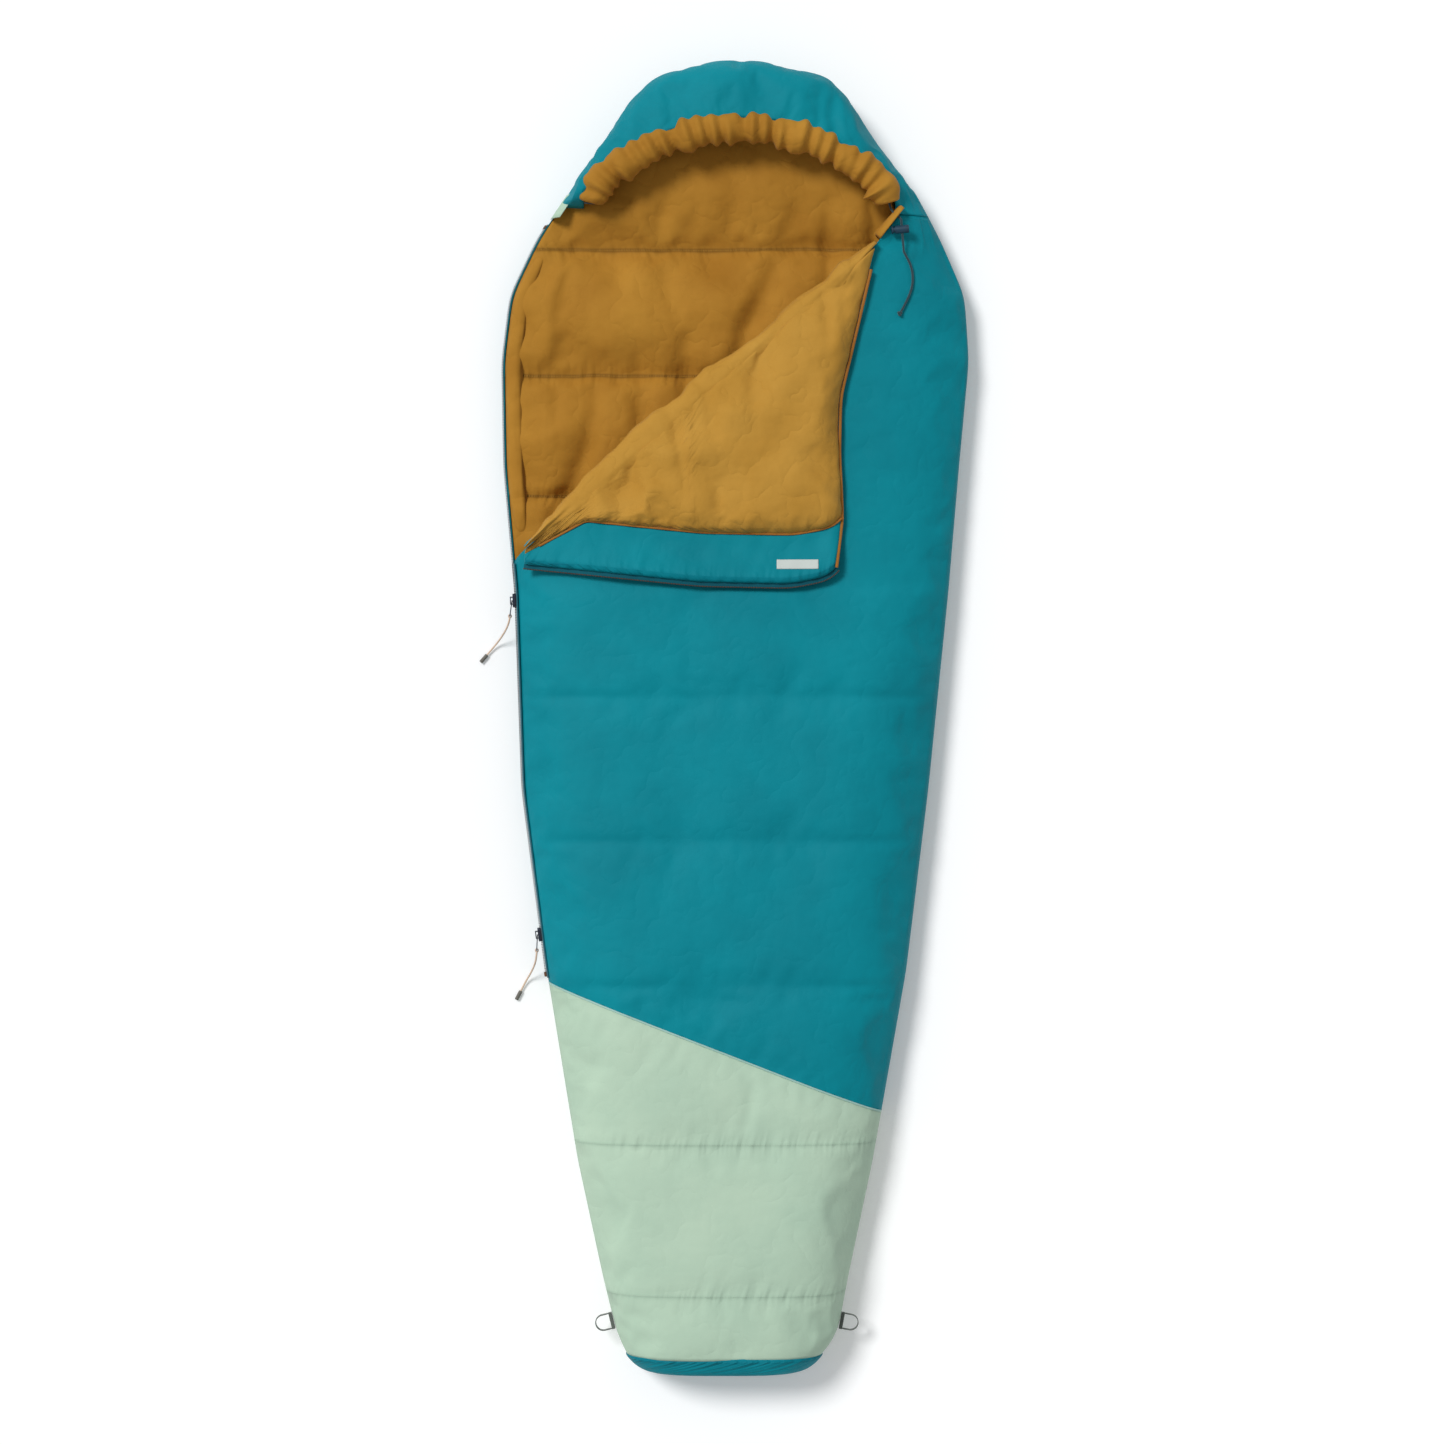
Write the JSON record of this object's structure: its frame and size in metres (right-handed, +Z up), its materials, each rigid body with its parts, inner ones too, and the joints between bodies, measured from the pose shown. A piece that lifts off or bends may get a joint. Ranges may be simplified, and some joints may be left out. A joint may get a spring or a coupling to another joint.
{
  "type": "mummy sleeping bag",
  "caption": "Padded mummy sleeping bag lying on its back, with a hood, a turned-back corner flap, a two-way side zip and webbing loops at the foot.",
  "frame": {"origin": "on the ground under the middle of the bag's length and shoulder width", "axes": "+X to the side away from the zip, +Y to the head, +Z up out of the face opening"},
  "size_m": [0.7891, 2.1, 0.1453],
  "materials": {
    "shell_teal": "ripstop nylon, soft sheen",
    "shell_mint": "ripstop nylon, soft sheen",
    "lining_gold": "soft brushed taffeta",
    "batt": "lofted fibre batting",
    "piping_pale": "piped seam",
    "binding_orange": "bound edge",
    "zip_tape": "woven tape",
    "zip_coil": "nylon coil",
    "slider_metal": "dark enamel",
    "pull_cord": "braided cord",
    "pull_grip": "moulded grip",
    "webbing": "woven webbing",
    "lock_plastic": "moulded plastic",
    "spring_steel": "spring wire",
    "label_pale": "blank woven label"
  },
  "bodies": {
    "bag": {"bottom_insulation": "batt", "bottom_lining": "lining_gold", "bottom_shell": "shell_teal", "draught_tube": "lining_gold", "drawcord_anchor": "pull_cord", "drawcord_tail": "pull_cord", "fold_insulation": "batt", "fold_lining": "lining_gold", "foot_bottom_shell": "shell_mint", "foot_end_insulation": "batt", "foot_end_panel": "shell_teal", "foot_loop_left_tab": "webbing", "foot_loop_right_tab": "webbing", "foot_seam_piping": "piping_pale", "foot_top_insulation": "batt", "foot_top_shell": "shell_mint", "hood_drawcord": "pull_cord", "hood_insulation": "batt", "hood_lining": "lining_gold", "hood_rim_tube": "lining_gold", "hood_shell": "shell_teal", "tail_knot": "pull_cord", "top_insulation": "batt", "top_lining": "lining_gold", "top_shell": "shell_teal", "zip_bottom_stop": "zip_coil", "zip_coil_bottom": "zip_coil", "zip_coil_top": "zip_coil", "zip_garage": "shell_mint", "zip_tape_bottom": "zip_tape", "zip_tape_top": "zip_tape", "zip_top_stop": "zip_coil"},
    "flap": {"flap_shell": "shell_teal", "flap_insulation": "batt", "flap_lining": "lining_gold", "flap_zip_facing": "shell_teal", "flap_neck_binding": "binding_orange", "flap_zip_tape": "zip_tape", "flap_zip_coil": "zip_coil", "blank_label": "label_pale"},
    "top_slider": {"top_slider": "slider_metal"},
    "top_puller": {"top_pull_tab": "slider_metal", "top_pull_cord": "pull_cord", "top_pull_grip": "pull_grip"},
    "bottom_slider": {"bottom_slider": "slider_metal"},
    "bottom_puller": {"bottom_pull_tab": "slider_metal", "bottom_pull_cord": "pull_cord", "bottom_pull_grip": "pull_grip"},
    "cord_lock": {"cord_lock_barrel": "lock_plastic", "cord_lock_spring": "spring_steel"},
    "lock_plunger": {"cord_lock_plunger": "lock_plastic"},
    "foot_loop_left": {"foot_loop_left": "webbing"},
    "foot_loop_right": {"foot_loop_right": "webbing"}
  },
  "joints": [
    {"name": "flap_fold", "type": "hinge", "parent": "bag", "child": "flap", "pos_m": [0.223, 0.752, 0.1056], "axis": [-0.7567, -0.6538, 0], "range_deg": [0, 183], "deforming": ["fold_lining", "fold_insulation"]},
    {"name": "top_slider_run", "type": "slide", "parent": "bag", "child": "top_slider", "axis": [-0.0349, 0.9994, 0], "range_m": [-0.285, 0]},
    {"name": "bottom_slider_run", "type": "slide", "parent": "bag", "child": "bottom_slider", "axis": [-0.1278, 0.9918, 0], "range_m": [-0.045, 0.22]},
    {"name": "top_pull_flip", "type": "hinge", "parent": "top_slider", "child": "top_puller", "pos_m": [-0.36011, 0.18573, 0.045], "axis": [0, 0, -1], "range_deg": [-5, 110]},
    {"name": "bottom_pull_flip", "type": "hinge", "parent": "bottom_slider", "child": "bottom_puller", "pos_m": [-0.31927, -0.35097, 0.045], "axis": [0, 0, -1], "range_deg": [-5, 110]},
    {"name": "cord_lock_run", "type": "slide", "parent": "bag", "child": "cord_lock", "axis": [0.0864, -0.9936, -0.0734], "range_m": [0, 0.02]},
    {"name": "lock_press", "type": "slide", "parent": "cord_lock", "child": "lock_plunger", "axis": [0.9962, 0.0866, 0], "range_m": [0, 0.003], "stiffness_N_per_m": 300, "springref_m": -0.004, "deforming": ["cord_lock_spring"]},
    {"name": "foot_loop_left_swing", "type": "hinge", "parent": "bag", "child": "foot_loop_left", "pos_m": [-0.20709, -0.97249, 0.045], "axis": [-0.2375, 0.9714, 0], "range_deg": [-50, 50], "stiffness_Nm_per_rad": 0.004},
    {"name": "foot_loop_right_swing", "type": "hinge", "parent": "bag", "child": "foot_loop_right", "pos_m": [0.1771, -0.97195, 0.045], "axis": [0.1856, 0.9826, 0], "range_deg": [-50, 50], "stiffness_Nm_per_rad": 0.004}
  ]
}
